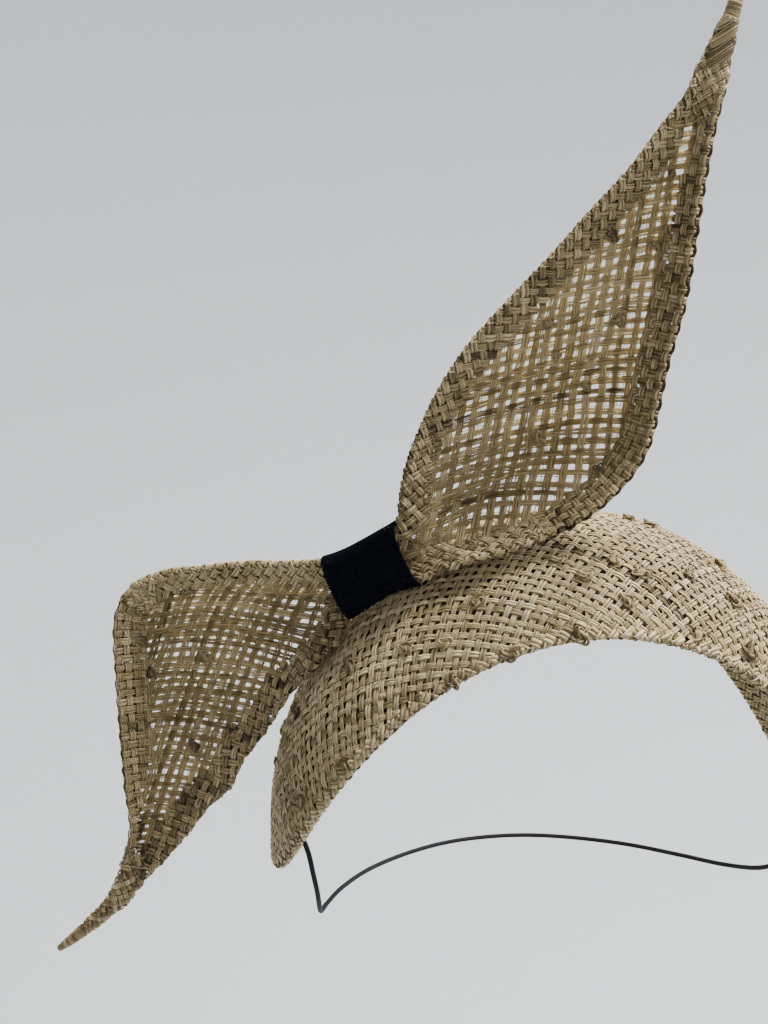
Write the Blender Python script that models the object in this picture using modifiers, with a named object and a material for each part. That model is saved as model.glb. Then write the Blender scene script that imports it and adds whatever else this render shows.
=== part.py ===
"""A bandeau hat of woven straw: a saddle-shaped band with a big straw bow tied off by a ribbon.

Units are metres, +Z is up, the wearer faces -Y. The origin is the inside of the band's crown,
where the hat sits on the top of the head.
"""
import math

import bmesh
import bpy
import numpy as np

# Straw walls
STRAW_WALL = 0.0014
HEM_WALL = 0.0024
HEM_WIDTH = 0.009
GAP = 0.0003

# Band, worn from ear to ear
BAND_SPAN = 0.158
BAND_ARCH_RISE = 0.085
BAND_ARCH_HALF_ANGLE = 95.0
BAND_BREADTH = 0.089
BAND_CROSS_RADIUS = 0.0385
BAND_TILT = -4.7
BAND_STEPS_ALONG = 56
BAND_STEPS_ACROSS = 14

# Ribbon sleeve round the middle of the bow, lying aslant on the band
RIBBON_WIDTH = 0.022
RIBBON_WALL = 0.0007
KNOT_HEIGHT = 0.018
KNOT_THICKNESS = 0.011
KNOT_WAIST = 0.9
KNOT_ROUNDNESS = 2.6
KNOT_ON_BAND_ALONG = -0.38
KNOT_ON_BAND_ACROSS = -0.163
KNOT_YAW = -27.0
KNOT_RISE = 30.0
KNOT_LEAN = 11.5
KNOT_STEPS_ALONG = 8
KNOT_STEPS_ROUND = 32

# Bow wings, each in its own frame: along the wing, up across it, and fore, towards the face side
BOW_YAW = -10.0
RIGHT_WING_LENGTH = 0.165
RIGHT_WING_ANGLE = 57.0
LEFT_WING_LENGTH = 0.145
LEFT_WING_ANGLE = -52.0
WING_STEPS_PER_ROW = 3
WING_STEPS_ACROSS = 14
VALLEY_SHARPNESS = 0.45

# Sections of the wings, as shares of the wing's length. The upper edge comes first, then the lower
# edge, then how deep the hollow between them is and where its valley runs, -1 low to +1 high.
WING_COLUMNS = ("up_along", "up_across", "up_fore", "low_along", "low_across", "low_fore",
                "hollow", "valley")
RIGHT_WING_ROWS = (
    (0.025, 0.029, -0.005, -0.013, -0.034, 0.020, 0.013, -0.10),
    (0.048, 0.018, 0.001, 0.010, -0.046, 0.026, 0.015, -0.15),
    (0.080, 0.006, 0.005, 0.040, -0.063, 0.033, 0.018, -0.20),
    (0.163, 0.043, -0.002, 0.107, -0.102, 0.050, 0.056, -0.30),
    (0.260, 0.062, -0.026, 0.161, -0.152, 0.039, 0.082, -0.35),
    (0.362, 0.065, -0.035, 0.229, -0.206, 0.017, 0.090, -0.35),
    (0.460, 0.051, -0.040, 0.304, -0.237, 0.003, 0.082, -0.30),
    (0.552, 0.035, -0.043, 0.390, -0.239, -0.008, 0.068, -0.20),
    (0.642, 0.021, -0.052, 0.501, -0.196, -0.027, 0.052, -0.10),
    (0.717, 0.009, -0.058, 0.599, -0.162, -0.040, 0.040, 0.00),
    (0.788, 0.004, -0.070, 0.698, -0.113, -0.050, 0.028, 0.00),
    (0.842, -0.001, -0.077, 0.800, -0.066, -0.071, 0.014, 0.00),
    (0.894, 0.008, -0.087, 0.886, -0.034, -0.086, 0.008, 0.00),
    (0.934, 0.015, -0.093, 0.944, -0.013, -0.095, 0.004, 0.00),
)
LEFT_WING_ROWS = (
    (-0.012, 0.040, -0.013, 0.025, -0.035, 0.016, 0.016, 0.10),
    (0.017, 0.052, -0.023, 0.055, -0.025, 0.007, 0.018, 0.15),
    (0.049, 0.067, -0.033, 0.089, -0.015, 0.001, 0.020, 0.20),
    (0.101, 0.113, -0.056, 0.151, -0.026, 0.021, 0.044, 0.25),
    (0.152, 0.167, -0.075, 0.206, -0.021, 0.027, 0.056, 0.30),
    (0.220, 0.232, -0.086, 0.282, -0.022, 0.003, 0.062, 0.35),
    (0.273, 0.279, -0.096, 0.378, -0.034, -0.007, 0.060, 0.30),
    (0.328, 0.305, -0.094, 0.450, -0.037, -0.009, 0.054, 0.20),
    (0.393, 0.293, -0.082, 0.507, -0.051, -0.006, 0.048, 0.10),
    (0.474, 0.230, -0.064, 0.560, -0.043, -0.009, 0.040, 0.00),
    (0.546, 0.168, -0.047, 0.634, -0.044, -0.004, 0.032, 0.00),
    (0.631, 0.093, -0.025, 0.710, -0.041, 0.000, 0.020, 0.00),
    (0.709, 0.026, -0.021, 0.764, -0.039, -0.008, 0.012, 0.00),
    (0.815, -0.012, -0.008, 0.823, -0.044, -0.014, 0.005, 0.00),
)

# Wound ends of the wings, as shares of the wing's length: the middle line and its radius
TIP_COLUMNS = ("along", "across", "fore", "radius")
RIGHT_TIP_ROWS = (
    (0.945, 0.004, -0.097, 0.0125),
    (0.965, 0.008, -0.101, 0.0120),
    (0.985, 0.014, -0.105, 0.0100),
    (1.005, 0.020, -0.109, 0.0070),
    (1.020, 0.024, -0.112, 0.0035),
)
LEFT_TIP_ROWS = (
    (0.826, -0.029, -0.012, 0.0150),
    (0.860, -0.026, -0.011, 0.0140),
    (0.905, -0.020, -0.010, 0.0120),
    (0.955, -0.011, -0.009, 0.0095),
    (0.995, -0.001, -0.008, 0.0045),
)
TIP_SIDES = 12
TIP_STEPS_PER_ROW = 3

# Elastic from one end of the band to the other, round the back of the neck. The points of one
# half run from the end of the band at -X to the nape and are mirrored for the other half.
ELASTIC_DIAMETER = 0.0014
ELASTIC_SEAT_ALONG = -0.9
ELASTIC_SEAT_ACROSS = -0.8
ELASTIC_HALF_ROUTE = (
    (-0.0706, -0.0208, -0.0820),
    (-0.0693, -0.0200, -0.0890),
    (-0.0680, -0.0176, -0.0960),
    (-0.0668, -0.0120, -0.1040),
    (-0.0650, -0.0020, -0.1120),
    (-0.0612, 0.0140, -0.1200),
    (-0.0540, 0.0320, -0.1265),
    (-0.0430, 0.0480, -0.1310),
    (-0.0290, 0.0600, -0.1340),
    (-0.0145, 0.0670, -0.1355),
    (0.0000, 0.0692, -0.1360),
)
ELASTIC_POINTS = 72

STRAW_COLOUR = (0.50, 0.38, 0.23, 1.0)
RIBBON_COLOUR = (0.012, 0.014, 0.026, 1.0)
ELASTIC_COLOUR = (0.010, 0.010, 0.012, 1.0)


def clear_scene():
    for item in list(bpy.data.objects):
        bpy.data.objects.remove(item, do_unlink=True)


def new_collection(name):
    collection = bpy.data.collections.new(name)
    bpy.context.scene.collection.children.link(collection)
    return collection


def new_material(name, colour, roughness):
    material = bpy.data.materials.new(name)
    material.use_nodes = True
    shader = material.node_tree.nodes["Principled BSDF"]
    shader.inputs["Base Color"].default_value = colour
    shader.inputs["Roughness"].default_value = roughness
    shader.inputs["Metallic"].default_value = 0.0
    return material


def unit(vectors):
    """Vectors scaled to length one."""
    return vectors / np.linalg.norm(vectors, axis=-1, keepdims=True)


def smooth_rows(rows, steps):
    """Catmull-Rom curve through the rows of a table, with a number of steps from row to row."""
    table = np.array(rows)
    ends = np.vstack([2 * table[0] - table[1], table, 2 * table[-1] - table[-2]])
    places = np.linspace(0.0, len(table) - 1.0, (len(table) - 1) * steps + 1)
    first = np.minimum(places.astype(int), len(table) - 2)
    t = (places - first)[:, None]
    a, b, c, d = (ends[first + shift] for shift in range(4))
    return 0.5 * (2 * b + (c - a) * t + (2 * a - 5 * b + 4 * c - d) * t ** 2
                  + (3 * b - a - 3 * c + d) * t ** 3)


def named_columns(table, names):
    return {name: table[:, index] for index, name in enumerate(names)}


def band_surface(along, across):
    """Outer face of the band and its outward direction.

    along runs from -1 at the -X end to +1 at the other, across from -1 at the front to +1 behind.
    """
    along, across = np.broadcast_arrays(np.asarray(along, float), np.asarray(across, float))
    angle = np.radians(BAND_ARCH_HALF_ANGLE) * along
    half_span = BAND_SPAN / 2
    zero = np.zeros_like(angle)
    spine = np.stack([half_span * np.sin(angle), zero, BAND_ARCH_RISE * (np.cos(angle) - 1)], -1)
    outward = unit(np.stack([np.sin(angle) / half_span, zero, np.cos(angle) / BAND_ARCH_RISE], -1))
    half_breadth = BAND_BREADTH / 2 * np.sqrt(np.clip(1 - along ** 2, 0, 1))
    turn = (across * half_breadth / BAND_CROSS_RADIUS)[..., None]
    sideways = np.array([0.0, 1.0, 0.0])
    place = spine - outward * BAND_CROSS_RADIUS * (1 - np.cos(turn))
    place = place + sideways * BAND_CROSS_RADIUS * np.sin(turn)
    facing = outward * np.cos(turn) + sideways * np.sin(turn)
    tilt = np.radians(BAND_TILT)
    turned = np.array([[1, 0, 0],
                       [0, math.cos(tilt), -math.sin(tilt)],
                       [0, math.sin(tilt), math.cos(tilt)]])
    crown = np.array([0.0, 0.0, STRAW_WALL])
    return place @ turned.T + crown, facing @ turned.T


def hem_weight(distance):
    """Share of the hem's thickness at a distance from the edge."""
    thin = STRAW_WALL / HEM_WALL
    inside = np.clip((distance - HEM_WIDTH) / (0.4 * HEM_WIDTH), 0, 1)
    return 1 + (thin - 1) * inside


def sheet_object(name, points, weights, offset, material, collection, poles=()):
    """A grid of points as an open surface, thickened by Solidify.

    poles are the two single points that close the first and the last row.
    """
    rows, columns = points.shape[:2]
    mesh = bpy.data.meshes.new(name)
    build = bmesh.new()
    grid = [[build.verts.new(points[i, j]) for j in range(columns)] for i in range(rows)]
    values = list(np.asarray(weights).reshape(-1))
    for i in range(rows - 1):
        for j in range(columns - 1):
            build.faces.new((grid[i][j], grid[i + 1][j], grid[i + 1][j + 1], grid[i][j + 1]))
    if len(poles):
        start = build.verts.new(poles[0])
        end = build.verts.new(poles[1])
        values += [1.0, 1.0]
        for j in range(columns - 1):
            build.faces.new((start, grid[0][j], grid[0][j + 1]))
            build.faces.new((end, grid[-1][j + 1], grid[-1][j]))
    build.to_mesh(mesh)
    build.free()
    mesh.shade_smooth()
    sheet = bpy.data.objects.new(name, mesh)
    collection.objects.link(sheet)
    mesh.materials.append(material)
    group = sheet.vertex_groups.new(name="wall")
    for index, value in enumerate(values):
        group.add([index], float(value), "REPLACE")
    wall = sheet.modifiers.new("Wall", "SOLIDIFY")
    wall.thickness = HEM_WALL
    wall.offset = offset
    wall.vertex_group = "wall"
    return sheet


def make_band(material, collection):
    angles = np.linspace(-math.pi / 2, math.pi / 2, BAND_STEPS_ALONG + 1)
    along = np.sin(angles[1:-1])[:, None]
    across = np.linspace(-1, 1, BAND_STEPS_ACROSS + 1)[None, :]
    points, _ = band_surface(along, across)
    ends, _ = band_surface(np.array([-1.0, 1.0]), 0.0)
    half_breadth = BAND_BREADTH / 2 * np.sqrt(1 - along ** 2)
    weights = hem_weight(half_breadth * (1 - np.abs(across)))
    return sheet_object("bandeau", points, weights, -1.0, material, collection, ends)


def knot_frame():
    """Directions of the ribbon sleeve: along its axis, up its height and back through it."""
    yaw, rise, lean = (math.radians(value) for value in (KNOT_YAW, KNOT_RISE, KNOT_LEAN))
    axis = np.array([math.cos(yaw) * math.cos(rise), math.sin(yaw) * math.cos(rise),
                     math.sin(rise)])
    level = np.array([-math.sin(yaw), math.cos(yaw), 0.0])
    upright = np.cross(axis, level)
    height = math.cos(lean) * upright + math.sin(lean) * level
    return axis, height, np.cross(height, axis)


def knot_size(step):
    """Size of the sleeve's section: whole at its ends, -1 and +1, and less at its waist."""
    return KNOT_WAIST + (1 - KNOT_WAIST) * step ** 2


def knot_steps():
    return np.linspace(-1, 1, KNOT_STEPS_ALONG + 1)


def knot_centre():
    """The sleeve rests on the arched band with its underside, a gap away."""
    place, facing = band_surface(KNOT_ON_BAND_ALONG, KNOT_ON_BAND_ACROSS)
    _, height, depth = knot_frame()
    power = KNOT_ROUNDNESS / (KNOT_ROUNDNESS - 1)
    reach = (abs(KNOT_HEIGHT / 2 * facing @ height) ** power
             + abs(KNOT_THICKNESS / 2 * facing @ depth) ** power) ** (1 / power)
    fall = (knot_steps() * RIBBON_WIDTH / 2) ** 2 / BAND_SPAN
    lift = np.max(reach * knot_size(knot_steps()) - fall)
    return place + facing * (lift + GAP)


def sleeve_ring(centre, half_height, half_thickness):
    """Rounded oblong section of the sleeve."""
    _, height, depth = knot_frame()
    turn = np.linspace(0, 2 * math.pi, KNOT_STEPS_ROUND, endpoint=False)
    power = 2 / KNOT_ROUNDNESS
    up = np.sign(np.sin(turn)) * np.abs(np.sin(turn)) ** power * half_height
    out = np.sign(np.cos(turn)) * np.abs(np.cos(turn)) ** power * half_thickness
    return centre + up[:, None] * height + out[:, None] * depth


def make_knot(material, collection):
    """Sleeve open at both ends, narrower at its waist than at its flared ends."""
    axis, _, _ = knot_frame()
    centre = knot_centre()
    build = bmesh.new()
    rings = []
    for step in knot_steps():
        size = knot_size(step)
        ring = sleeve_ring(centre + axis * step * RIBBON_WIDTH / 2,
                           size * KNOT_HEIGHT / 2, size * KNOT_THICKNESS / 2)
        rings.append([build.verts.new(point) for point in ring])
    for lower, upper in zip(rings, rings[1:]):
        for j in range(KNOT_STEPS_ROUND):
            following = (j + 1) % KNOT_STEPS_ROUND
            build.faces.new((lower[j], lower[following], upper[following], upper[j]))
    mesh = bpy.data.meshes.new("ribbon_knot")
    build.to_mesh(mesh)
    build.free()
    mesh.shade_smooth()
    mesh.materials.append(material)
    knot = bpy.data.objects.new("ribbon_knot", mesh)
    collection.objects.link(knot)
    wall = knot.modifiers.new("Wall", "SOLIDIFY")
    wall.thickness = RIBBON_WALL
    wall.offset = -1.0
    return knot


def wing_axes(side, angle):
    """Directions along, across and fore of a wing; side is +1 towards +X and -1 towards -X."""
    yaw, rise = math.radians(BOW_YAW), math.radians(angle)
    out = np.array([math.cos(yaw), math.sin(yaw), 0.0])
    up = np.array([0.0, 0.0, 1.0])
    fore = np.array([math.sin(yaw), -math.cos(yaw), 0.0])
    along = side * math.cos(rise) * out + math.sin(rise) * up
    across = -side * math.sin(rise) * out + math.cos(rise) * up
    return np.array([along, across, fore])


def hollow_shape(place, valley):
    """Depth share of the hollow: 0 at both edges and 1 in the valley."""
    low = (place + 1) / (valley + 1)
    high = (1 - place) / (1 - valley)
    share = np.clip(np.minimum(low, high), 0, 1)
    return share * (1 + (1 - VALLEY_SHARPNESS) * (1 - share))


def wing_surface(rows, length, side, angle):
    """Middle surface of a wing, and the distance of each point from the nearer edge."""
    cells = named_columns(smooth_rows(rows, WING_STEPS_PER_ROW) * length, WING_COLUMNS)
    upper = np.stack([cells["up_along"], cells["up_across"], cells["up_fore"]], -1)
    lower = np.stack([cells["low_along"], cells["low_across"], cells["low_fore"]], -1)
    valley = (cells["valley"] / length)[:, None]
    chord = upper - lower
    spine = np.gradient((upper + lower) / 2, axis=0)
    facing = unit(np.cross(spine, chord))
    place = np.linspace(-1, 1, WING_STEPS_ACROSS + 1)[None, :]
    depth = cells["hollow"][:, None] * hollow_shape(place, valley)
    local = (lower[:, None, :] + chord[:, None, :] * ((place + 1) / 2)[..., None]
             - facing[:, None, :] * depth[..., None])
    from_edge = np.linalg.norm(chord, axis=-1)[:, None] * (1 - np.abs(place)) / 2
    return knot_centre() + local @ wing_axes(side, angle), from_edge


def make_wing(name, rows, length, side, angle, material, collection):
    points, from_edge = wing_surface(rows, length, side, angle)
    return sheet_object(name, points, hem_weight(from_edge), 0.0, material, collection)


def make_tip(name, rows, length, side, angle, material, collection):
    """Wound end of a wing: a tapering round body along its middle line."""
    cells = named_columns(smooth_rows(rows, TIP_STEPS_PER_ROW) * length, TIP_COLUMNS)
    line = np.stack([cells["along"], cells["across"], cells["fore"]], -1) @ wing_axes(side, angle)
    line = line + knot_centre()
    tangent = unit(np.gradient(line, axis=0))
    across = unit(np.cross(tangent, wing_axes(side, angle)[2]))
    fore = np.cross(across, tangent)
    turn = np.linspace(0, 2 * math.pi, TIP_SIDES, endpoint=False)
    build = bmesh.new()
    rings = []
    for centre, radius, u, v in zip(line, cells["radius"], across, fore):
        ring = [centre + radius * (math.cos(a) * u + math.sin(a) * v) for a in turn]
        rings.append([build.verts.new(point) for point in ring])
    for lower, upper in zip(rings, rings[1:]):
        for j in range(TIP_SIDES):
            following = (j + 1) % TIP_SIDES
            build.faces.new((lower[j], lower[following], upper[following], upper[j]))
    build.faces.new(rings[0])
    build.faces.new(rings[-1])
    bmesh.ops.recalc_face_normals(build, faces=build.faces)
    mesh = bpy.data.meshes.new(name)
    build.to_mesh(mesh)
    build.free()
    mesh.shade_smooth()
    mesh.materials.append(material)
    tip = bpy.data.objects.new(name, mesh)
    collection.objects.link(tip)
    return tip


def elastic_route():
    """Points of the whole elastic, evenly spaced along a smooth curve."""
    place, facing = band_surface(ELASTIC_SEAT_ALONG, ELASTIC_SEAT_ACROSS)
    seat = place - facing * (HEM_WALL + ELASTIC_DIAMETER / 2 + GAP)
    half = np.vstack([seat, ELASTIC_HALF_ROUTE])
    mirrored = half[-2::-1] * np.array([-1.0, 1.0, 1.0])
    curve = smooth_rows(np.vstack([half, mirrored]), 12)
    run = np.concatenate([[0], np.cumsum(np.linalg.norm(np.diff(curve, axis=0), axis=1))])
    places = np.linspace(0, run[-1], ELASTIC_POINTS)
    return np.stack([np.interp(places, run, curve[:, axis]) for axis in range(3)], -1)


def make_elastic(material, collection):
    route = elastic_route()
    curve = bpy.data.curves.new("elastic", "CURVE")
    curve.dimensions = "3D"
    curve.bevel_depth = ELASTIC_DIAMETER / 2
    curve.bevel_resolution = 2
    curve.use_fill_caps = True
    spline = curve.splines.new("POLY")
    spline.points.add(len(route) - 1)
    for point, place in zip(spline.points, route):
        point.co = (*place, 1.0)
    curve.materials.append(material)
    elastic = bpy.data.objects.new("elastic", curve)
    collection.objects.link(elastic)
    return elastic


def main():
    clear_scene()
    hat = new_collection("straw_bandeau_hat")
    straw = new_material("straw", STRAW_COLOUR, 0.7)
    ribbon = new_material("ribbon", RIBBON_COLOUR, 0.6)
    cord = new_material("elastic_cord", ELASTIC_COLOUR, 0.7)
    make_band(straw, hat)
    make_knot(ribbon, hat)
    for end, side, length, angle, wing_rows, tip_rows in (
            ("right", 1, RIGHT_WING_LENGTH, RIGHT_WING_ANGLE, RIGHT_WING_ROWS, RIGHT_TIP_ROWS),
            ("left", -1, LEFT_WING_LENGTH, LEFT_WING_ANGLE, LEFT_WING_ROWS, LEFT_TIP_ROWS)):
        make_wing("wing_" + end, wing_rows, length, side, angle, straw, hat)
        make_tip("tip_" + end, tip_rows, length, side, angle, straw, hat)
    make_elastic(cord, hat)


main()
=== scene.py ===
"""Looks of the straw bandeau hat: the woven straw of its band and bow, the ribbon and the elastic.

Units are metres in the part's frame: +Z is up, the wearer faces -Y. Lengths of cloth are in metres
too. A strand is a flat bundle of a few fibres, and every fibre is a body of its own.
"""
import math

import bpy
import numpy as np
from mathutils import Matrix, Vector


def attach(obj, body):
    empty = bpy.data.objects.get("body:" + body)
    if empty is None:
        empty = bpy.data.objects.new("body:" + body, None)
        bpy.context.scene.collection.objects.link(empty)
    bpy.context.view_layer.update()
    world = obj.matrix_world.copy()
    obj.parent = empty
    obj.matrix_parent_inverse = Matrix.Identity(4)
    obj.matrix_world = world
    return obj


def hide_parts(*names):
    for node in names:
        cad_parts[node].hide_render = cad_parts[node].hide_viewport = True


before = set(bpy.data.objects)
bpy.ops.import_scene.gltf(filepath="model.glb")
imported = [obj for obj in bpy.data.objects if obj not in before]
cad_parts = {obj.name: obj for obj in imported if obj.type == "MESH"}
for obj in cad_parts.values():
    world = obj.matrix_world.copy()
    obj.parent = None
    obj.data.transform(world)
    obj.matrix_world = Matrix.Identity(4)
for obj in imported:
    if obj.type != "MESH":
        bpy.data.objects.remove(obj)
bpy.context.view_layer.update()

# Band, as in the part
BAND_SPAN = 0.158
BAND_ARCH_RISE = 0.085
BAND_ARCH_HALF_ANGLE = 95.0
BAND_BREADTH = 0.089
BAND_CROSS_RADIUS = 0.0385
BAND_TILT = -4.7
STRAW_WALL = 0.0014
HEM_WALL = 0.0024
GAP = 0.0003

# Ribbon sleeve, as in the part
RIBBON_WIDTH = 0.022
RIBBON_WALL = 0.0007
KNOT_HEIGHT = 0.018
KNOT_THICKNESS = 0.011
KNOT_WAIST = 0.9
KNOT_ROUNDNESS = 2.6
KNOT_ON_BAND_ALONG = -0.38
KNOT_ON_BAND_ACROSS = -0.163
KNOT_YAW = -27.0
KNOT_RISE = 30.0
KNOT_LEAN = 11.5
KNOT_STEPS_ALONG = 8

# Wings, as in the part: for each section the upper edge's and the lower edge's place along, across
# and fore, and the hollow, as shares of the wing's length, and the valley's place between the edges
BOW_YAW = -10.0
RIGHT_WING_LENGTH = 0.165
RIGHT_WING_ANGLE = 57.0
LEFT_WING_LENGTH = 0.145
LEFT_WING_ANGLE = -52.0
VALLEY_SHARPNESS = 0.45
RIGHT_WING_ROWS = (
    (0.025, 0.029, -0.005, -0.013, -0.034, 0.020, 0.013, -0.10),
    (0.048, 0.018, 0.001, 0.010, -0.046, 0.026, 0.015, -0.15),
    (0.080, 0.006, 0.005, 0.040, -0.063, 0.033, 0.018, -0.20),
    (0.163, 0.043, -0.002, 0.107, -0.102, 0.050, 0.056, -0.30),
    (0.260, 0.062, -0.026, 0.161, -0.152, 0.039, 0.082, -0.35),
    (0.362, 0.065, -0.035, 0.229, -0.206, 0.017, 0.090, -0.35),
    (0.460, 0.051, -0.040, 0.304, -0.237, 0.003, 0.082, -0.30),
    (0.552, 0.035, -0.043, 0.390, -0.239, -0.008, 0.068, -0.20),
    (0.642, 0.021, -0.052, 0.501, -0.196, -0.027, 0.052, -0.10),
    (0.717, 0.009, -0.058, 0.599, -0.162, -0.040, 0.040, 0.00),
    (0.788, 0.004, -0.070, 0.698, -0.113, -0.050, 0.028, 0.00),
    (0.842, -0.001, -0.077, 0.800, -0.066, -0.071, 0.014, 0.00),
    (0.894, 0.008, -0.087, 0.886, -0.034, -0.086, 0.008, 0.00),
    (0.934, 0.015, -0.093, 0.944, -0.013, -0.095, 0.004, 0.00),
)
LEFT_WING_ROWS = (
    (-0.012, 0.040, -0.013, 0.025, -0.035, 0.016, 0.016, 0.10),
    (0.017, 0.052, -0.023, 0.055, -0.025, 0.007, 0.018, 0.15),
    (0.049, 0.067, -0.033, 0.089, -0.015, 0.001, 0.020, 0.20),
    (0.101, 0.113, -0.056, 0.151, -0.026, 0.021, 0.044, 0.25),
    (0.152, 0.167, -0.075, 0.206, -0.021, 0.027, 0.056, 0.30),
    (0.220, 0.232, -0.086, 0.282, -0.022, 0.003, 0.062, 0.35),
    (0.273, 0.279, -0.096, 0.378, -0.034, -0.007, 0.060, 0.30),
    (0.328, 0.305, -0.094, 0.450, -0.037, -0.009, 0.054, 0.20),
    (0.393, 0.293, -0.082, 0.507, -0.051, -0.006, 0.048, 0.10),
    (0.474, 0.230, -0.064, 0.560, -0.043, -0.009, 0.040, 0.00),
    (0.546, 0.168, -0.047, 0.634, -0.044, -0.004, 0.032, 0.00),
    (0.631, 0.093, -0.025, 0.710, -0.041, 0.000, 0.020, 0.00),
    (0.709, 0.026, -0.021, 0.764, -0.039, -0.008, 0.012, 0.00),
    (0.815, -0.012, -0.008, 0.823, -0.044, -0.014, 0.005, 0.00),
)
# Tips: middle along, across and fore, and radius, as shares of the wing's length
RIGHT_TIP_ROWS = (
    (0.945, 0.004, -0.097, 0.0125),
    (0.965, 0.008, -0.101, 0.0120),
    (0.985, 0.014, -0.105, 0.0100),
    (1.005, 0.020, -0.109, 0.0070),
    (1.020, 0.024, -0.112, 0.0035),
)
LEFT_TIP_ROWS = (
    (0.826, -0.029, -0.012, 0.0150),
    (0.860, -0.026, -0.011, 0.0140),
    (0.905, -0.020, -0.010, 0.0120),
    (0.955, -0.011, -0.009, 0.0095),
    (0.995, -0.001, -0.008, 0.0045),
)
RIGHT_WING = (RIGHT_WING_ROWS, RIGHT_WING_LENGTH, 1, RIGHT_WING_ANGLE)
LEFT_WING = (LEFT_WING_ROWS, LEFT_WING_LENGTH, -1, LEFT_WING_ANGLE)

# Elastic, with the route of the part
ELASTIC_DIAMETER = 0.0014
ELASTIC_SEAT_ALONG = -0.9
ELASTIC_SEAT_ACROSS = -0.8
ELASTIC_HALF_ROUTE = (
    (-0.0706, -0.0208, -0.0820),
    (-0.0693, -0.0200, -0.0890),
    (-0.0680, -0.0176, -0.0960),
    (-0.0668, -0.0120, -0.1040),
    (-0.0650, -0.0020, -0.1120),
    (-0.0612, 0.0140, -0.1200),
    (-0.0540, 0.0320, -0.1265),
    (-0.0430, 0.0480, -0.1310),
    (-0.0290, 0.0600, -0.1340),
    (-0.0145, 0.0670, -0.1355),
    (0.0000, 0.0692, -0.1360),
)
ELASTIC_POINTS = 240

# Weave of the straw. The band's two families run at these angles to its length.
BAND_WEAVE_ANGLES = (-30.0, 44.0)
BAND_PITCHES = (0.00225, 0.00245)
BAND_STRANDS = (0.00139, 0.00150)
BAND_CLOTH_DEPTH = 0.0004
INNER_STRANDS = (0.0023, 0.0024)
INNER_CLOTH_DEPTH = 0.0015
FIBRE_HEIGHT = 0.00019
WEAVE_HEIGHT = 0.00030
SAMPLES_PER_CELL = 3
SHORTEST_SPAN = 4

# Hems: strips of cloth folded over the edges; on the wings the cloth under them is painted darker, as
# shade.
# The left wing's upper hem changes its weave at a corner, a share of its length.
HEM_PITCH = 0.0024
LEFT_CORNER = 0.44
HEM_COVER = 0.0088
HEM_BACK = 0.0075
HEM_SHADE_DEPTH = 0.007
HEM_SHADE_FADE = 0.001
HEM_STRAND = 0.0018
BAND_HEM_STRAND = 0.0020
HEM_WEAVE_HEIGHT = 0.00044
WING_FOLD = 0.0008
BAND_FOLD = 0.00095
FOLD_STEPS = 5
HEM_DEPTHS = np.arange(0, 13) * 0.001
HEM_DEEPEST = 0.0115

# Rolled tips, in rows of the course, and the thread that binds their points
TIP_STEPS = 40
TIP_OVERLAP = 16
TIP_OVER_EDGES = 0.0008
TIP_OVER_FACES = 0.0011
THREAD = 0.00055

# Ribs of the ribbon and loops along its edges
RIBS = 74
POINTS_PER_RIB = 4
RIB_DEPTH = 0.00016
LOOP_REACH = 0.00022

# Slub knots seen from the front: on the band along and across it, as the part counts them, and on
# the wings as shares of the rows from the knot and places from the lower edge, -1, to the upper, +1
BAND_SLUBS = (
    (-0.70, -0.93), (-0.40, -1.00), (-0.43, -0.64), (-0.36, -0.77), (-0.54, -0.42), (0.09, -0.80),
    (-0.05, -1.00), (-0.24, -1.00), (0.20, -0.02), (0.07, -0.54), (0.37, -0.55), (0.35, -0.23),
    (0.25, -0.53), (0.13, -0.61), (-0.05, -0.52), (-0.82, -0.73), (-0.25, -0.63), (0.29, -0.92),
    (0.44, -0.86), (0.00, -0.64),
)
MORE_BAND_SLUBS = 30
BAND_WHISKERS = 26
RIGHT_WING_SLUBS = (
    (0.76, 0.18), (0.62, 0.62), (0.49, 0.57), (0.48, 0.30), (0.50, -0.15), (0.59, -0.15),
    (0.41, -0.20), (0.26, -0.88), (0.69, -0.18), (0.22, 0.45), (0.46, -0.80),
)
LEFT_WING_SLUBS = (
    (0.50, -0.03), (0.64, 0.45), (0.65, -0.43), (0.32, -0.62), (0.61, 0.68), (0.52, -0.82),
    (0.75, 0.77), (0.72, -0.95), (0.45, 0.73), (0.19, -0.20), (0.58, 0.90),
)

WING_WHISKERS = 22
KNOT_FIBRES = 110

# Camera and light
CAMERA_PLACE = (-0.11121, -0.36528, 0.12452)
CAMERA_AIM = (-0.0468, 0.0, 0.0040)
CAMERA_LENS = 52.73
FLOOR_DEPTH = -0.62


def unit(vectors):
    """Vectors scaled to length one."""
    return vectors / np.maximum(np.linalg.norm(vectors, axis=-1, keepdims=True), 1e-12)


def smooth_rows(rows, steps):
    """Catmull-Rom curve through the rows of a table, with a number of steps from row to row."""
    table = np.array(rows)
    ends = np.vstack([2 * table[0] - table[1], table, 2 * table[-1] - table[-2]])
    places = np.linspace(0.0, len(table) - 1.0, (len(table) - 1) * steps + 1)
    first = np.minimum(places.astype(int), len(table) - 2)
    t = (places - first)[:, None]
    a, b, c, d = (ends[first + shift] for shift in range(4))
    return 0.5 * (2 * b + (c - a) * t + (2 * a - 5 * b + 4 * c - d) * t ** 2
                  + (3 * b - a - 3 * c + d) * t ** 3)


def run_along(points):
    """Lengths of a line from its first point to each of its points."""
    return np.concatenate([[0], np.cumsum(np.linalg.norm(np.diff(points, axis=0), axis=1))])


# Surfaces of the part

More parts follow.
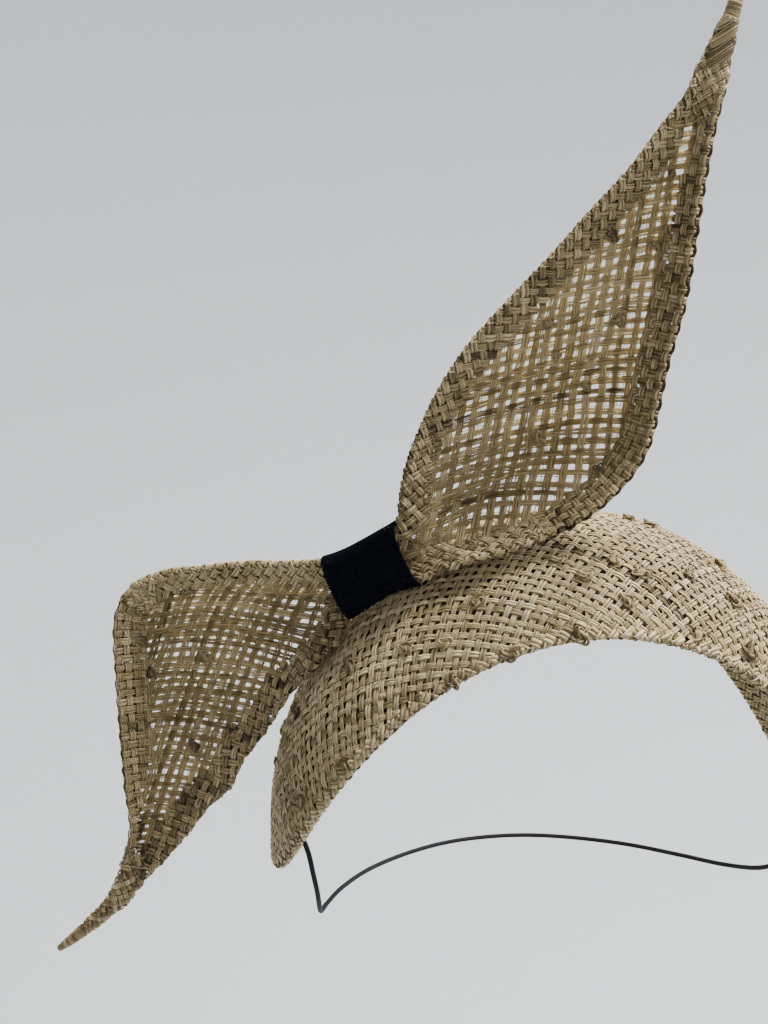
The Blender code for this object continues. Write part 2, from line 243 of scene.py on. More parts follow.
def arch(along):
    """Middle line of the band and its outward direction."""
    angle = np.radians(BAND_ARCH_HALF_ANGLE) * along
    half_span = BAND_SPAN / 2
    zero = np.zeros_like(angle)
    spine = np.stack([half_span * np.sin(angle), zero, BAND_ARCH_RISE * (np.cos(angle) - 1)], -1)
    outward = unit(np.stack([np.sin(angle) / half_span, zero, np.cos(angle) / BAND_ARCH_RISE], -1))
    return spine, outward


def band_place(along, breadth):
    """Outer face of the band and its outward direction, at a length of cloth from its middle line."""
    along, breadth = np.broadcast_arrays(np.asarray(along, float), np.asarray(breadth, float))
    spine, outward = arch(along)
    turn = (breadth / BAND_CROSS_RADIUS)[..., None]
    sideways = np.array([0.0, 1.0, 0.0])
    place = spine - outward * BAND_CROSS_RADIUS * (1 - np.cos(turn))
    place = place + sideways * BAND_CROSS_RADIUS * np.sin(turn)
    facing = outward * np.cos(turn) + sideways * np.sin(turn)
    tilt = np.radians(BAND_TILT)
    turned = np.array([[1, 0, 0],
                       [0, math.cos(tilt), -math.sin(tilt)],
                       [0, math.sin(tilt), math.cos(tilt)]])
    return place @ turned.T + np.array([0.0, 0.0, STRAW_WALL]), facing @ turned.T


def half_breadth(along):
    return BAND_BREADTH / 2 * np.sqrt(np.clip(1 - np.asarray(along, float) ** 2, 0, 1))


def knot_frame():
    """Directions of the ribbon sleeve: along its axis, up its height and back through it."""
    yaw, rise, lean = (math.radians(value) for value in (KNOT_YAW, KNOT_RISE, KNOT_LEAN))
    axis = np.array([math.cos(yaw) * math.cos(rise), math.sin(yaw) * math.cos(rise),
                     math.sin(rise)])
    level = np.array([-math.sin(yaw), math.cos(yaw), 0.0])
    upright = np.cross(axis, level)
    height = math.cos(lean) * upright + math.sin(lean) * level
    return axis, height, np.cross(height, axis)


def knot_size(step):
    """Size of the sleeve's section: whole at its ends, -1 and +1, and less at its waist."""
    return KNOT_WAIST + (1 - KNOT_WAIST) * step ** 2


def knot_centre():
    """The sleeve rests on the arched band with its underside, a gap away."""
    place, facing = band_place(KNOT_ON_BAND_ALONG,
                               KNOT_ON_BAND_ACROSS * half_breadth(KNOT_ON_BAND_ALONG))
    _, height, depth = knot_frame()
    power = KNOT_ROUNDNESS / (KNOT_ROUNDNESS - 1)
    reach = (abs(KNOT_HEIGHT / 2 * facing @ height) ** power
             + abs(KNOT_THICKNESS / 2 * facing @ depth) ** power) ** (1 / power)
    steps = np.linspace(-1, 1, KNOT_STEPS_ALONG + 1)
    fall = (steps * RIBBON_WIDTH / 2) ** 2 / BAND_SPAN
    return place + facing * (np.max(reach * knot_size(steps) - fall) + GAP)


def wing_axes(side, angle):
    """Directions along, across and fore of a wing; side is +1 towards +X and -1 towards -X."""
    yaw, rise = math.radians(BOW_YAW), math.radians(angle)
    out = np.array([math.cos(yaw), math.sin(yaw), 0.0])
    up = np.array([0.0, 0.0, 1.0])
    fore = np.array([math.sin(yaw), -math.cos(yaw), 0.0])
    along = side * math.cos(rise) * out + math.sin(rise) * up
    across = -side * math.sin(rise) * out + math.cos(rise) * up
    return np.array([along, across, fore])


def hollow_shape(place, valley):
    """Depth share of the hollow: 0 at both edges and 1 in the valley."""
    low = (place + 1) / (valley + 1)
    high = (1 - place) / (1 - valley)
    share = np.clip(np.minimum(low, high), 0, 1)
    return share * (1 + (1 - VALLEY_SHARPNESS) * (1 - share))


# Grids, read between their rows and columns

def cells_at(grid, u, v):
    """Corners of the cells that hold some places, and the places' shares down and across them."""
    i = np.clip(np.floor(u).astype(int), 0, grid.shape[0] - 2)
    j = np.clip(np.floor(v).astype(int), 0, grid.shape[1] - 2)
    corners = grid[i, j], grid[i, j + 1], grid[i + 1, j], grid[i + 1, j + 1]
    return *corners, (u - i)[..., None], (v - j)[..., None]


def read_grid(grid, u, v):
    """Values of a grid at places between its rows and columns, or a little outside them."""
    first, right, below, far, a, b = cells_at(grid, u, v)
    return (first * (1 - b) + right * b) * (1 - a) + (below * (1 - b) + far * b) * a


def grid_slopes(grid, u, v):
    """How a grid's values change per row and per column at the same places."""
    first, right, below, far, a, b = cells_at(grid, u, v)
    return ((below - first) * (1 - b) + (far - right) * b,
            (right - first) * (1 - a) + (far - below) * a)


def sampled(fields, row):
    """Values of some lines' fields at places between their points."""
    still = np.zeros(len(row))
    return [read_grid(field.reshape(len(field), 1, -1).repeat(2, 1), row, still)
            for field in fields]


def find_places(fields, wanted):
    """Places on a grid where its two fields take the wanted values, and how far off they are."""
    stride = 4
    coarse = fields[::stride, ::stride]
    flat = coarse.reshape(-1, 2)
    place = np.empty((len(wanted), 2))
    for first in range(0, len(wanted), 2000):
        part = wanted[first:first + 2000]
        nearest = ((part[:, None, :] - flat[None]) ** 2).sum(-1).argmin(1)
        rows, columns = np.unravel_index(nearest, coarse.shape[:2])
        place[first:first + 2000] = stride * np.stack([rows, columns], -1)
    for _ in range(14):
        miss = wanted - read_grid(fields, place[:, 0], place[:, 1])
        du, dv = grid_slopes(fields, place[:, 0], place[:, 1])
        area = du[:, 0] * dv[:, 1] - du[:, 1] * dv[:, 0]
        area = np.where(np.abs(area) < 1e-9, 1e-9, area)
        step_u = (miss[:, 0] * dv[:, 1] - miss[:, 1] * dv[:, 0]) / area
        step_v = (du[:, 0] * miss[:, 1] - du[:, 1] * miss[:, 0]) / area
        place = place + np.clip(np.stack([step_u, step_v], -1), -6, 6)
    miss = wanted - read_grid(fields, place[:, 0], place[:, 1])
    return place, np.abs(miss).max(-1)


class Cloth:
    """A surface of woven cloth on a grid.

    points is the middle of the cloth, normals its outer side, lines the two families' line numbers
    at each point, and margin the distance to the nearest edge, less than 0 past it. The strands stop
    short of the last row by a number of rows.
    """

    def __init__(self, points, normals, lines, margin, short=0):
        self.points = points
        self.normals = normals
        self.lines = lines
        self.margin = margin[..., None]
        self.short = short

    def at(self, place):
        return (read_grid(self.points, place[:, 0], place[:, 1]),
                unit(read_grid(self.normals, place[:, 0], place[:, 1])))

    def margin_at(self, place):
        return read_grid(self.margin, place[:, 0], place[:, 1])[:, 0]

    def inside(self, place, miss, least):
        rows, columns = self.margin.shape[:2]
        on_grid = ((place[:, 0] >= 0) & (place[:, 0] <= rows - 1 - self.short)
                   & (place[:, 1] >= -2) & (place[:, 1] <= columns + 1))
        return on_grid & (miss < 0.02) & (self.margin_at(place) > least)


# Strands and fibres

def add_object(name, data, material=None):
    """Puts a mesh, a lamp or the camera in the scene."""
    if material:
        data.materials.append(material)
    thing = bpy.data.objects.new(name, data)
    bpy.context.scene.collection.objects.link(thing)
    return thing


class Bundle:
    """Fibres gathered for one mesh: their points, faces, tone and place along and across."""

    def __init__(self, seed):
        self.random = np.random.default_rng(seed)
        self.points = []
        self.faces = []
        self.marks = []
        self.count = 0

    def wobble(self, count, size, knots_apart=6):
        """Smooth random values along a fibre."""
        knots = max(3, count // knots_apart + 2)
        values = self.random.normal(0, size, knots)
        return np.interp(np.linspace(0, knots - 1, count), np.arange(knots), values)

    def add_tube(self, centre, normal, width, height, tone, sides=3):
        """One fibre: a flat tube round a line, wide across and high along the normal."""
        tangent = unit(np.gradient(centre, axis=0))
        across = unit(np.cross(normal, tangent))
        normal = np.cross(tangent, across)
        turn = np.linspace(0, 2 * math.pi, sides, endpoint=False) + math.pi / 2
        width = np.broadcast_to(width, (len(centre),))
        height = np.broadcast_to(height, (len(centre),))
        ring = (centre[:, None, :]
                + across[:, None, :] * (np.cos(turn)[None, :] * width[:, None] / 2)[..., None]
                + normal[:, None, :] * (np.sin(turn)[None, :] * height[:, None] / 2)[..., None])
        count = len(centre)
        rings = self.count + np.arange(count - 1)[:, None] * sides
        first = rings + np.arange(sides)[None, :]
        following = rings + (np.arange(sides)[None, :] + 1) % sides
        quads = np.stack([first, following, following + sides, first + sides], -1).reshape(-1, 4)
        self.faces.append(quads)
        offset = self.random.uniform(0, 9)
        marks = np.stack(np.broadcast_arrays(
            (run_along(centre) * 100 + offset)[:, None], np.cos(turn)[None, :] + offset * 3.1,
            np.broadcast_to(tone, (count,))[:, None]), -1)
        self.points.append(ring.reshape(-1, 3))
        self.marks.append(marks.reshape(-1, 3))
        self.count += count * sides

    def add_strand(self, centre, normal, width, tone, fibres=None, stray=0.0, crown=0.0):
        """A strand: a few fibres side by side, none as wide as the next, and at times a stray one.

        A strand with a crown is higher along its middle than along its sides.
        """
        count = len(centre)
        fibres = fibres or int(self.random.choice([2, 3, 3, 4]))
        shares = self.random.uniform(0.6, 1.4, fibres)
        shares = shares / shares.sum()
        starts = np.concatenate([[0], np.cumsum(shares)[:-1]])
        tangent = unit(np.gradient(centre, axis=0))
        across = unit(np.cross(normal, tangent))
        for start, share in zip(starts, shares):
            offset = start + share / 2 - 0.5
            middle = offset * width + self.wobble(count, 0.00006)
            lift = self.wobble(count, 0.00005) + crown * (1 - (2 * offset) ** 2)
            own_width = width * share * 1.25 * (1 + self.wobble(count, 0.06))
            own_tone = np.clip(tone + self.random.normal(0, 0.055) + self.wobble(count, 0.03), 0, 1)
            line = centre + across * middle[:, None] + normal * lift[:, None]
            self.add_tube(line, normal, own_width, FIBRE_HEIGHT * self.random.uniform(0.8, 1.2),
                          own_tone)
        if self.random.random() < stray:
            side = self.random.choice([-1, 1]) * self.random.uniform(0.55, 0.85)
            line = centre + across * (side * width + self.wobble(count, 0.0002))[:, None]
            self.add_tube(line, normal, 0.00022, 0.00016, tone)

    def make(self, name, material, slot):
        points = np.vstack(self.points)
        faces = np.vstack(self.faces)
        marks = np.vstack(self.marks)
        mesh = bpy.data.meshes.new(name)
        mesh.vertices.add(len(points))
        mesh.vertices.foreach_set("co", points.astype(np.float32).ravel())
        mesh.loops.add(faces.size)
        mesh.loops.foreach_set("vertex_index", faces.astype(np.int32).ravel())
        mesh.polygons.add(len(faces))
        mesh.polygons.foreach_set("loop_start", np.arange(0, faces.size, 4, dtype=np.int32))
        mesh.update(calc_edges=True)
        mesh.validate()
        mesh.shade_smooth()
        fibre = mesh.attributes.new("fibre", "FLOAT_VECTOR", "POINT")
        fibre.data.foreach_set("vector", marks.astype(np.float32).ravel())
        piece = add_object(name, mesh, material)
        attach(piece, "root")
        return piece


def over_or_under(family, number):
    """1 or -1: which way a strand is lifted where it meets an even strand of the other family."""
    return 1 if (family + int(number)) % 2 == 0 else -1


def add_weave(bundles, cloth, widths, tone, jitter=0.1, wander=0.06, least_margin=0.0009,
              fibres=None, samples=SAMPLES_PER_CELL, painted_hem_shade=0.0, stray=0.0, relief=1.0):
    """Both families of a cloth's strands, each in its own bundle, over and under each other.

    widths holds the strand widths of the two families. Inside a hem, strands are darkened as painted
    shade.
    """
    low = np.floor(cloth.lines.reshape(-1, 2).min(0)).astype(int) - 1
    high = np.ceil(cloth.lines.reshape(-1, 2).max(0)).astype(int) + 1
    numbers = [np.arange(low[family], high[family] + 1) for family in (0, 1)]
    places = [own + bundles[0].random.uniform(-jitter, jitter, len(own)) for own in numbers]
    for family, bundle in enumerate(bundles):
        other = 1 - family
        phases = np.arange(low[other] * samples, high[other] * samples + 1) / samples
        sway = np.stack([bundle.wobble(len(phases), wander, 10) for _ in numbers[family]])
        wanted = np.empty((len(numbers[family]), len(phases), 2))
        wanted[..., family] = places[family][:, None] + sway
        wanted[..., other] = np.interp(phases, numbers[other], places[other])[None, :]
        place, miss = find_places(cloth.lines, wanted.reshape(-1, 2))
        inside = cloth.inside(place, miss, least_margin).reshape(wanted.shape[:2])
        place = place.reshape(*wanted.shape[:2], 2)
        for row, number in enumerate(numbers[family]):
            own_tone = np.clip(bundle.random.normal(tone, 0.135), 0.02, 0.98)
            width = widths[family] * bundle.random.uniform(0.88, 1.10)
            for first, last in spans(inside[row]):
                own, phase = reach_edge(cloth, place[row], phases, first, last, least_margin)
                centre, normal = cloth.at(own)
                height = (over_or_under(family, number) * relief * WEAVE_HEIGHT
                          * np.cos(math.pi * phase))
                # Painted shade: strands are darker where a hem covers the cloth
                hem_shade_share = np.clip((HEM_SHADE_DEPTH - cloth.margin_at(own)) / HEM_SHADE_FADE, 0, 1)
                bundle.add_strand(centre + normal * height[:, None], normal, width,
                                  own_tone - painted_hem_shade * hem_shade_share, fibres=fibres, stray=stray)


def reach_edge(cloth, places, phases, first, last, least):
    """A run of places and phases, lengthened to where it meets the edge between two samples."""
    own, phase = places[first:last], phases[first:last]
    for inner, outer in ((first, first - 1), (last - 1, last)):
        if not 0 <= outer < len(places):
            continue
        pair = places[[inner, outer]]
        margins = cloth.margin_at(pair)
        if margins[1] >= least or np.abs(pair[1] - pair[0]).max() > 12:
            continue
        share = (margins[0] - least) / (margins[0] - margins[1])
        if share < 0.1:
            continue
        end = pair[0] + (pair[1] - pair[0]) * share
        end_phase = phases[inner] + (phases[outer] - phases[inner]) * share
        if outer < inner:
            own, phase = np.vstack([end, own]), np.append(end_phase, phase)
        else:
            own, phase = np.vstack([own, end]), np.append(phase, end_phase)
    return own, phase


def spans(flags):
    """Starts and ends of the runs of true values that aren't too short."""
    steps = np.diff(np.concatenate([[0], flags.astype(int), [0]]))
    pairs = zip(np.flatnonzero(steps == 1), np.flatnonzero(steps == -1))
    return [(first, last) for first, last in pairs if last - first >= SHORTEST_SPAN]


# Hems

class Hem:
    """A strip of cloth wrapped round an edge.

    points and normals are grids with a row for each place along the edge and a column for each
    of the HEM_DEPTHS in from it. Across the strip, a place is a length of cloth from the very edge,
    more than 0 on the outer side and less on the inner one.
    """

    def __init__(self, points, normals, deepest, middle, fold, closed=False):
        self.points = points
        self.normals = normals
        self.deepest = deepest
        self.middle = middle
        self.fold = fold
        self.closed = closed
        edge = points[:, 0]
        self.run = run_along(edge)
        tangent = unit(np.gradient(edge, axis=0))
        inward = unit(points[:, 2] - points[:, 0])
        self.outward = -unit(inward - tangent * (inward * tangent).sum(-1, keepdims=True))

    def at(self, length, wrap):
        """Points and normals of the strip at lengths along the edge and wraps round it."""
        row = np.interp(length, self.run, np.arange(len(self.run)))
        depth = np.maximum(np.abs(wrap) - math.pi / 2 * self.fold, 0)
        turn = np.clip(wrap / self.fold, -math.pi / 2, math.pi / 2)
        place = read_grid(self.points, row, depth / HEM_DEPTHS[1])
        facing = unit(read_grid(self.normals, row, depth / HEM_DEPTHS[1]))
        edge_out = unit(sampled([self.outward], row)[0])
        out = edge_out * np.cos(turn)[:, None] + facing * np.sin(turn)[:, None]
        flatter = self.fold * (1 - 0.6 * np.clip(depth / HEM_COVER, 0, 1))
        return place + facing * self.middle + out * flatter[:, None], out


def add_hem(bundle, hem, angles, outer, inner, width, tone, part=(0.0, 1.0), fibres=None):
    """Strands of a hem in two families, each at its angle to the edge, on a part of its length."""
    total = hem.run[-1]
    rules, shifts = [], np.zeros(2)
    for family, angle in enumerate(angles):
        slant = math.radians(angle)
        if abs(math.sin(slant)) < 0.05:
            rules.append(np.array([0.0, 1 / HEM_PITCH]))
            shifts[family] = 0.5
        else:
            spread = round(total * abs(math.sin(slant)) / HEM_PITCH / 2) * 2 / total
            rules.append(np.array([spread, -spread * math.cos(slant) / math.sin(slant)]))
    rules = np.array(rules)
    back = np.linalg.inv(rules)
    corners = np.array([[length, wrap] for length in (0, total) for wrap in (-inner, outer)])
    numbers = corners @ rules.T + shifts
    fold = np.linspace(-math.pi / 2, math.pi / 2, FOLD_STEPS) * hem.fold
    for family in (0, 1):
        other = 1 - family
        lines = np.arange(np.floor(numbers[:, family].min()), np.ceil(numbers[:, family].max()) + 1)
        if family == 0 and rules[0][0] and hem.closed:
            lines = lines[:-1]
        start, end = numbers[:, other].min() - 1, numbers[:, other].max() + 1
        for number in lines:
            phase = np.arange(math.floor(start * SAMPLES_PER_CELL), end * SAMPLES_PER_CELL)
            phase = phase / SAMPLES_PER_CELL
            pair = np.empty((len(phase), 2))
            pair[:, family] = number + bundle.random.uniform(-0.06, 0.06)
            pair[:, other] = phase
            spot = (pair - shifts) @ back.T
            if abs(spot[-1, 1] - spot[0, 1]) > 1e-6:
                order = np.argsort(spot[:, 1])
                wraps = np.union1d(spot[:, 1], fold)
                wraps = wraps[np.concatenate([[True], np.diff(wraps) > 2e-4])]
                spot = np.stack([np.interp(wraps, spot[order, 1], spot[order, 0]), wraps], -1)
                phase = (spot @ rules.T + shifts)[:, other]
            ragged = bundle.random.uniform(-0.0005, 0.0007, 2)
            limit = np.interp(spot[:, 0], hem.run, hem.deepest)
            keep = ((spot[:, 0] >= part[0] * total - 1e-6) & (spot[:, 0] <= part[1] * total + 1e-6)
                    & (spot[:, 1] > -np.minimum(inner + ragged[0], limit))
                    & (spot[:, 1] < np.minimum(outer + ragged[1] * 0.4, limit)))
            own_tone = np.clip(bundle.random.normal(tone, 0.11), 0.08, 0.98)
            own_width = width * bundle.random.uniform(0.88, 1.1)
            for first, last in spans(keep):
                centre, normal = hem.at(spot[first:last, 0], spot[first:last, 1])
                lift = (over_or_under(family, number) * HEM_WEAVE_HEIGHT
                        * np.cos(math.pi * phase[first:last]))
                bundle.add_strand(centre + normal * lift[:, None], normal, own_width, own_tone,
                                  fibres=fibres or int(bundle.random.choice([2, 3])))


# Cloths of the hat

def band_run(along):
    """Lengths along the band's middle line from its crown, and its outward directions."""
    spine, outward = arch(along)
    run = run_along(spine)
    return run - run[-1] / 2, outward


def band_cloth(depth, shift):
    """A ply of the band, at a depth under its outer face, with its lines shifted by a share."""
    along = np.linspace(-1.0, 1.0, 281)
    breadth = np.linspace(-0.047, 0.047, 95)
    run, outward = band_run(along)
    turned = np.arctan2(outward[:, 0], outward[:, 2])
    shorter = BAND_CROSS_RADIUS * (1 - np.cos(breadth / BAND_CROSS_RADIUS))
    cloth_run = run[:, None] - turned[:, None] * shorter[None, :] * 0.55
    place, facing = band_place(along[:, None], breadth[None, :])
    lines = []
    for angle, pitch in zip(BAND_WEAVE_ANGLES, BAND_PITCHES):
        slant = math.radians(angle)
        lines.append((breadth[None, :] * math.cos(slant) - cloth_run * math.sin(slant)) / pitch)
    half = np.array([run[-1], BAND_BREADTH / 2])
    level = np.sqrt((run[:, None] / half[0]) ** 2 + (breadth[None, :] / half[1]) ** 2)
    slope = np.sqrt((run[:, None] / half[0] ** 2) ** 2 + (breadth[None, :] / half[1] ** 2) ** 2)
    margin = (1 - level) / np.maximum(slope / np.maximum(level, 0.05), 1.0)
    true_margin = half_breadth(along)[:, None] - np.abs(breadth)[None, :]
    margin = np.where(true_margin < 0, np.minimum(true_margin, margin), np.minimum(margin, 0.05))
    return Cloth(place - facing * depth, facing, np.stack(lines, -1) + shift, margin)


def band_hem():
    """The hem round the whole band: in front, round the end, behind and back."""
    turn = np.linspace(0, 2 * math.pi, 561)
    fine = np.linspace(-1.0, 1.0, 401)
    run, _ = band_run(fine)
    inward = -unit(np.stack([np.cos(turn) / run[-1], np.sin(turn) / (BAND_BREADTH / 2)], -1))
    spot_run = np.interp(np.cos(turn), fine, run)[:, None] + inward[:, :1] * HEM_DEPTHS[None, :]
    spot_breadth = ((BAND_BREADTH / 2 * np.sin(turn))[:, None]
                    + inward[:, 1:] * HEM_DEPTHS[None, :])
    place, facing = band_place(np.interp(spot_run, run, fine), spot_breadth)
    return Hem(place, facing, np.full(len(turn), HEM_DEEPEST), -BAND_FOLD, BAND_FOLD, closed=True)


def wing_grid(rows, length, side, angle, steps_per_row=16, columns=81):
    """Middle surface of a wing on a fine grid, with its own fore side."""
    table = smooth_rows(rows, steps_per_row)
    upper, lower, hollow = table[:, :3] * length, table[:, 3:6] * length, table[:, 6:7] * length
    chord = upper - lower
    spine = np.gradient((upper + lower) / 2, axis=0)
    facing = unit(np.cross(spine, chord))
    place = np.linspace(-1, 1, columns)[None, :]
    depth = hollow * hollow_shape(place, table[:, 7:])
    local = (lower[:, None, :] + chord[:, None, :] * ((place + 1) / 2)[..., None]
             - facing[:, None, :] * depth[..., None])
    axes = wing_axes(side, angle)
    points = knot_centre() + local @ axes
    normals = unit(np.cross(np.gradient(points, axis=0), np.gradient(points, axis=1)))
    if (normals @ axes[2]).mean() < 0:
        normals = -normals
    across = np.concatenate([np.zeros((len(points), 1)), np.cumsum(
        np.linalg.norm(np.diff(points, axis=1), axis=2), axis=1)], axis=1)
    return points, normals, local, np.minimum(across, across[:, -1:] - across)


def wing_cloth(rows, length, side, angle, directions, pitches, gather, short):
    """A wing with both families' directions as they look from the front, drawn in at the knot."""
    points, normals, local, margin = wing_grid(rows, length, side, angle)
    share = local[..., 0] / length
    drawn_in = 1 + gather * np.clip(1 - share / 0.32, 0, 1) ** 2
    along, across = local[..., 0], local[..., 1] * drawn_in
    rise = math.radians(angle)
    level = side * (math.cos(rise) * along - math.sin(rise) * across)
    height = math.sin(rise) * along + math.cos(rise) * across
    lines = []
    for direction, pitch in zip(directions, pitches):
        turn = math.radians(direction)
        lines.append((height * math.cos(turn) - level * math.sin(turn)) / pitch)
    return Cloth(points, normals, np.stack(lines, -1), margin, short)


def walk_inward(points, edge_column):
    """Places on a grid reached from one of its edges by steps square to that edge."""
    step = HEM_DEPTHS[1]
    rows = np.arange(len(points), dtype=float)
    columns = np.full(len(points), float(edge_column))
    tangent = unit(np.gradient(points[:, edge_column], axis=0))
    inner = points[:, points.shape[1] // 2] - points[:, edge_column]
    places = [np.stack([rows, columns], -1)]
    for _ in HEM_DEPTHS[1:]:
        per_row, per_column = grid_slopes(points, rows, columns)
        heading = unit(np.cross(tangent, unit(np.cross(per_row, per_column))))
        heading = heading * np.sign((heading * inner).sum(-1, keepdims=True))
        a, b, c = (per_row ** 2).sum(-1), (per_row * per_column).sum(-1), (per_column ** 2).sum(-1)
        e, f = (per_row * heading).sum(-1), (per_column * heading).sum(-1)
        area = np.maximum(a * c - b * b, 1e-18)
        rows = rows + np.clip((e * c - f * b) / area * step, -4, 4)
        columns = columns + np.clip((a * f - b * e) / area * step, -20, 20)
        places.append(np.stack([rows, columns], -1))
    return np.stack(places, 1)


def wing_hem(rows, length, side, angle, upper_edge):
    """The hem along one edge of a wing, from the knot to the tip."""
    points, normals, _, _ = wing_grid(rows, length, side, angle)
    last = points.shape[1] - 1
    places = walk_inward(points, last if upper_edge else 0)
    places[..., 0] = np.clip(places[..., 0], -2, len(points) + 1)
    places[..., 1] = np.clip(places[..., 1], 0, last)
    place = read_grid(points, places[..., 0], places[..., 1])
    facing = unit(read_grid(normals, places[..., 0], places[..., 1]))
    on_own_half = (np.abs(places[..., 1] - places[:, :1, 1]) < 0.46 * last).sum(1) - 1
    return Hem(place, facing, np.minimum(HEM_DEEPEST, on_own_half * HEM_DEPTHS[1]), 0.0, WING_FOLD)


# Materials

class Shading:
    """A new material, with short calls for its nodes."""

    def __init__(self, name):
        self.material = bpy.data.materials.new(name)
        self.material.use_nodes = True
        self.tree = self.material.node_tree
        self.shader = self.tree.nodes["Principled BSDF"]

    def fill(self, node, values):
        """Sets a node's inputs, each to a value or to another node's output."""
        for key, value in values.items():
            if isinstance(value, bpy.types.NodeSocket):
                self.tree.links.new(value, node.inputs[key])
            else:
                node.inputs[key].default_value = value
        return node

    def node(self, kind, values, **settings):
        node = self.tree.nodes.new("ShaderNode" + kind)
        for key, value in settings.items():
            setattr(node, key, value)
        return self.fill(node, values)

    def attribute(self, name):
        return self.node("Attribute", {}, attribute_name=name).outputs["Vector"]

    def parts(self, vector):
        return self.node("SeparateXYZ", {0: vector}).outputs

    def math(self, operation, *values):
        return self.node("Math", dict(enumerate(values)), operation=operation).outputs[0]

    def noise(self, **values):
        named = {key.capitalize(): value for key, value in values.items()}
        return self.node("TexNoise", named).outputs["Fac"]

    def place(self):
        return self.node("TexCoord", {}).outputs["Object"]

    def finish(self, factor, stops, roughness, specular=None):
        """The surface's colours, from a ramp of stops, and its gloss."""
        ramp = self.node("ValToRGB", {"Fac": factor})
        elements = ramp.color_ramp.elements
        while len(elements) < len(stops):
            elements.new(0.5)
        for element, (place, colour) in zip(elements, stops):
            element.position = place
            element.color = (*colour, 1.0)
        self.fill(self.shader, {"Base Color": ramp.outputs["Color"], "Roughness": roughness})
        if specular is not None:
            self.fill(self.shader, {"Specular IOR Level": specular})

    def bump(self, height, strength, distance):
        values = {"Height": height, "Strength": strength, "Distance": distance}
        self.fill(self.shader, {"Normal": self.node("Bump", values).outputs["Normal"]})


def straw_material(name, through, through_share):
    """Straw fibres: a tone for each, fine streaks along it and light that comes through."""
    shading = Shading(name)
    along, across, own_tone = shading.parts(shading.attribute("fibre"))
    across = shading.math("MULTIPLY", across, 8.0)
    streak_place = shading.node("CombineXYZ", {"X": along, "Y": across})
    streak = shading.noise(vector=streak_place.outputs[0], scale=1.4, detail=3.0, roughness=0.6)
    patch = shading.noise(vector=shading.place(), scale=55.0, detail=2.0)
    tone = shading.math("MULTIPLY_ADD", streak, 0.58, own_tone)
    tone = shading.math("MULTIPLY_ADD", patch, 0.35, tone)
    shading.finish(shading.math("SUBTRACT", tone, 0.47), STRAW_STOPS, 0.52, 0.35)
    shading.bump(streak, 0.5, 0.00015)
    glow = shading.node("BsdfTranslucent", {"Color": (*through, 1.0)})
    mix = shading.node("MixShader", {"Fac": through_share, 1: shading.shader.outputs[0],
                                     2: glow.outputs[0]})
    shading.fill(shading.tree.nodes["Material Output"], {"Surface": mix.outputs[0]})
    return shading.material


# Straw tones from near black to pale cream. The near-black low end paints shade, on the inner ply and
# on the wing cloth under the hems.
STRAW_STOPS = (
    (0.0, (0.025, 0.018, 0.009)),
    (0.10, (0.13, 0.095, 0.045)),
    (0.28, (0.34, 0.252, 0.126)),
    (0.5, (0.555, 0.430, 0.240)),
    (0.75, (0.73, 0.590, 0.355)),
    (1.0, (0.88, 0.765, 0.510)),
)
# The ribbon's ramp runs from black, the painted shade in its rib grooves, to navy, the painted light
# on its crests.
RIBBON_STOPS = ((0.2, (0.0001, 0.0001, 0.0002)), (0.5, (0.0075, 0.0095, 0.0185)))
ELASTIC_STOPS = ((0.0, (0.002, 0.002, 0.0022)), (1.0, (0.006, 0.006, 0.007)))
BACKDROP_STOPS = ((0.0, (0.60, 0.625, 0.64)), (1.0, (0.64, 0.665, 0.68)))


# Pieces

def make_band_pieces(straw, shaded_inner_straw):
    bundles = [Bundle(11), Bundle(12)]
    add_weave(bundles, band_cloth(BAND_CLOTH_DEPTH, 0.0), BAND_STRANDS, 0.50)
    # A second, inner ply of straw at tone 0, painted dark as the shade seen through the outer ply's
    # holes
    inner = Bundle(14)
    add_weave([inner, inner], band_cloth(INNER_CLOTH_DEPTH, 0.5), INNER_STRANDS, 0.0, fibres=1,
              samples=2, jitter=0.05)
    hem = Bundle(13)
    add_hem(hem, band_hem(), (45.0, -40.0), 0.0030, 0.0100, BAND_HEM_STRAND, 0.48, fibres=2)
    piece = bundles[0].make("band_weft", straw, "straw")
    bundles[1].make("band_warp", straw, "straw")
    inner.make("band_inner_ply", shaded_inner_straw, "straw")
    hem.make("band_hem", straw, "straw")
    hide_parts("bandeau")


def make_wing_pieces(name, wing, directions, pitches, fills, short, hems, seed, open_straw, straw):
    """A wing's two families of strands and its hems.

    fills holds the share of each family's pitch that its strands fill, and hems holds for each strip
    of hem whether it is on the upper edge, its strands' angles to the edge, its part of the edge and
    its tone.
    """
    cloth = wing_cloth(*wing, directions, pitches, 0.8, short)
    bundles = [Bundle(seed), Bundle(seed + 1)]
    widths = [pitch * fill for pitch, fill in zip(pitches, fills)]
    add_weave(bundles, cloth, widths, 0.36, jitter=0.12, wander=0.09, least_margin=0.0006,
              painted_hem_shade=0.40, stray=0.6, relief=0.7)
    hem = Bundle(seed + 2)
    for upper_edge, angles, part, tone in hems:
        add_hem(hem, wing_hem(*wing, upper_edge), angles, HEM_COVER, HEM_BACK,
                HEM_STRAND, tone, part)
    piece = bundles[0].make(name + "_rows", open_straw, "straw")
    bundles[1].make(name + "_columns", open_straw, "straw")
    hem.make(name + "_hem", straw, "straw")
    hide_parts(name)


